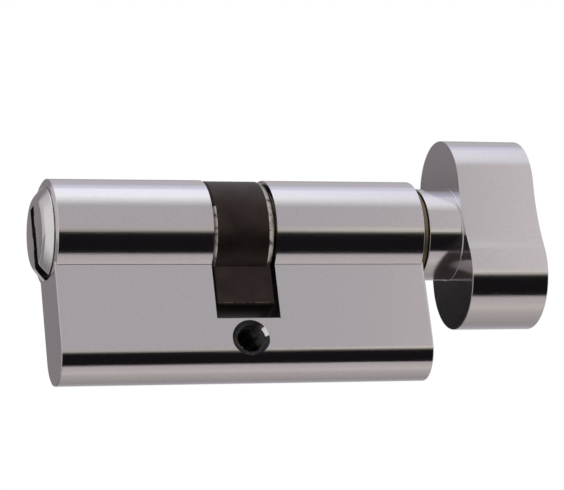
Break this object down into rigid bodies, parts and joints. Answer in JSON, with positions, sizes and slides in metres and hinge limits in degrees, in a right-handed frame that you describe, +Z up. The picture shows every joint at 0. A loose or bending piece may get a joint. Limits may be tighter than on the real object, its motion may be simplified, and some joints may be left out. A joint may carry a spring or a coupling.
{
  "type": "euro cylinder",
  "caption": "Euro profile lock cylinder with a keyed plug on one side, an oval turn knob on a short neck on the other, and a dark cam between them.",
  "frame": {"origin": "on the plug axis, midway between the walls of the cam slot, above the fixing hole", "axes": "+X along the plug axis from the key side to the knob, +Z up from the flat web to the barrel, -Y to the side seen in the picture"},
  "size_m": [0.0814, 0.018, 0.0404],
  "materials": {
    "nickel_plate": "satin nickel plate over brass",
    "brass": "machined",
    "spring_steel": "drawn wire and stamped strip",
    "sintered_steel": "dark steam-oxidised sintered steel",
    "black_steel": "black oxide"
  },
  "bodies": {
    "housing": {"cylinder_body": "nickel_plate", "chamber_cap_1": "nickel_plate", "chamber_cap_2": "nickel_plate", "chamber_cap_3": "nickel_plate", "chamber_cap_4": "nickel_plate", "chamber_cap_5": "nickel_plate", "pin_spring_1": "spring_steel", "pin_spring_2": "spring_steel", "pin_spring_3": "spring_steel", "pin_spring_4": "spring_steel", "pin_spring_5": "spring_steel"},
    "key_plug": {"key_plug": "nickel_plate", "key_circlip": "spring_steel"},
    "clutch": {"clutch_dog": "sintered_steel"},
    "cam": {"cam": "sintered_steel"},
    "turn": {"turn_plug": "brass", "turn_circlip": "spring_steel", "clutch_spring": "spring_steel", "knob": "nickel_plate", "knob_set_screw": "black_steel"},
    "key_pin_1": {"key_pin_1": "brass"},
    "key_pin_2": {"key_pin_2": "brass"},
    "key_pin_3": {"key_pin_3": "brass"},
    "key_pin_4": {"key_pin_4": "brass"},
    "key_pin_5": {"key_pin_5": "brass"},
    "driver_pin_1": {"driver_pin_1": "brass"},
    "driver_pin_2": {"driver_pin_2": "brass"},
    "driver_pin_3": {"driver_pin_3": "brass"},
    "driver_pin_4": {"driver_pin_4": "brass"},
    "driver_pin_5": {"driver_pin_5": "brass"}
  },
  "joints": [
    {"name": "turn_spin", "type": "hinge", "parent": "housing", "child": "turn", "pos_m": [0.03675, 0, 0], "axis": [1, 0, 0], "continuous": true},
    {"name": "cam_spin", "type": "hinge", "parent": "housing", "child": "cam", "pos_m": [0, 0, 0], "axis": [1, 0, 0], "continuous": true},
    {"name": "key_plug_spin", "type": "hinge", "parent": "housing", "child": "key_plug", "pos_m": [-0.03, 0, 0], "axis": [1, 0, 0], "continuous": true},
    {"name": "clutch_slide", "type": "slide", "parent": "key_plug", "child": "clutch", "axis": [1, 0, 0], "range_m": [0, 0.0025], "stiffness_N_per_m": 120, "springref_m": -0.002, "deforming": ["clutch_spring"]},
    {"name": "key_pin_1_lift", "type": "slide", "parent": "key_plug", "child": "key_pin_1", "axis": [0, 0, 1], "range_m": [0, 0.0016]},
    {"name": "key_pin_2_lift", "type": "slide", "parent": "key_plug", "child": "key_pin_2", "axis": [0, 0, 1], "range_m": [0, 0.0016]},
    {"name": "key_pin_3_lift", "type": "slide", "parent": "key_plug", "child": "key_pin_3", "axis": [0, 0, 1], "range_m": [0, 0.0016]},
    {"name": "key_pin_4_lift", "type": "slide", "parent": "key_plug", "child": "key_pin_4", "axis": [0, 0, 1], "range_m": [0, 0.0016]},
    {"name": "key_pin_5_lift", "type": "slide", "parent": "key_plug", "child": "key_pin_5", "axis": [0, 0, 1], "range_m": [0, 0.0016]},
    {"name": "driver_pin_1_slide", "type": "slide", "parent": "housing", "child": "driver_pin_1", "axis": [0, 0, -1], "range_m": [0, 0.0022], "stiffness_N_per_m": 100, "springref_m": -0.003, "deforming": ["pin_spring_1"]},
    {"name": "driver_pin_2_slide", "type": "slide", "parent": "housing", "child": "driver_pin_2", "axis": [0, 0, -1], "range_m": [0, 0.0022], "stiffness_N_per_m": 100, "springref_m": -0.003, "deforming": ["pin_spring_2"]},
    {"name": "driver_pin_3_slide", "type": "slide", "parent": "housing", "child": "driver_pin_3", "axis": [0, 0, -1], "range_m": [0, 0.0022], "stiffness_N_per_m": 100, "springref_m": -0.003, "deforming": ["pin_spring_3"]},
    {"name": "driver_pin_4_slide", "type": "slide", "parent": "housing", "child": "driver_pin_4", "axis": [0, 0, -1], "range_m": [0, 0.0022], "stiffness_N_per_m": 100, "springref_m": -0.003, "deforming": ["pin_spring_4"]},
    {"name": "driver_pin_5_slide", "type": "slide", "parent": "housing", "child": "driver_pin_5", "axis": [0, 0, -1], "range_m": [0, 0.0022], "stiffness_N_per_m": 100, "springref_m": -0.003, "deforming": ["pin_spring_5"]}
  ],
  "couplings": [
    {"joint": "cam_spin", "follows": "turn_spin", "ratio": 1}
  ]
}
